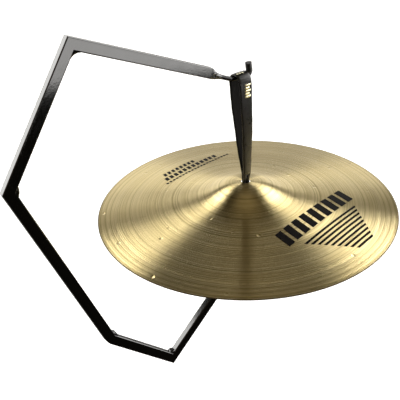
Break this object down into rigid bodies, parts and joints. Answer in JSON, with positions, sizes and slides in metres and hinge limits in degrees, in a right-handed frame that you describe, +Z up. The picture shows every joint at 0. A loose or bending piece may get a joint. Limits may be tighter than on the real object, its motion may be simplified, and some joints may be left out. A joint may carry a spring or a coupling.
{
  "type": "suspended hand cymbal on a hook arm",
  "caption": "Thin bronze cymbal hung by a knotted leather strap from the hook of an open, angular arm welded from square tube, with a round socket for a cymbal stand's rod.",
  "frame": {"origin": "on the cymbal's axis, at the centre of the bottom face of the stand socket", "axes": "+Z up along the socket's bore and the cymbal's axis; the arm lies in the XZ plane and bows out to -X"},
  "size_m": [0.6, 0.4572, 0.5561],
  "materials": {
    "black_paint": "high-gloss black paint on steel",
    "painted_weld": "gloss black paint over rippled weld beads",
    "black_vinyl": "smooth soft black sleeve, semi-gloss",
    "black_leather": "glazed black leather with dark edges",
    "bronze": "lathed and hammered bronze, bright, with fine concentric grooves"
  },
  "bodies": {
    "arm": {"top_tube": "black_paint", "upper_left_tube": "black_paint", "lower_left_tube": "black_paint", "bottom_tube": "black_paint", "riser_tube": "black_paint", "weld_top": "painted_weld", "weld_left": "painted_weld", "weld_lower_left": "painted_weld", "weld_bottom": "painted_weld", "weld_hook": "painted_weld", "weld_socket": "painted_weld", "stand_socket": "black_paint", "hook_rod": "black_paint", "tip_sleeve": "black_vinyl"},
    "strap": {"strap_band": "black_leather"},
    "tails": {"tail_front_left": "black_leather", "tail_front_right": "black_leather", "tail_back_left": "black_leather", "tail_back_right": "black_leather"},
    "knot": {"strap_knot": "black_leather", "knot_end_front": "black_leather", "knot_end_back": "black_leather", "knot_end_left": "black_leather", "knot_end_right": "black_leather"},
    "cymbal": {"cymbal": "bronze"}
  },
  "joints": [
    {"name": "strap_swing", "type": "hinge", "parent": "arm", "child": "strap", "pos_m": [0, 0, 0.308], "axis": [1, 0, 0], "range_deg": [-25, 25]},
    {"name": "cymbal_side_tilt", "type": "hinge", "parent": "strap", "child": "tails", "pos_m": [0, 0, 0.15], "axis": [0, 1, 0], "range_deg": [-12, 12]},
    {"name": "cymbal_fore_tilt", "type": "hinge", "parent": "tails", "child": "knot", "pos_m": [0, 0, 0.139], "axis": [1, 0, 0], "range_deg": [-15, 15]},
    {"name": "cymbal_spin", "type": "hinge", "parent": "knot", "child": "cymbal", "pos_m": [0, 0, 0.139], "axis": [0, 0, 1], "continuous": true}
  ]
}
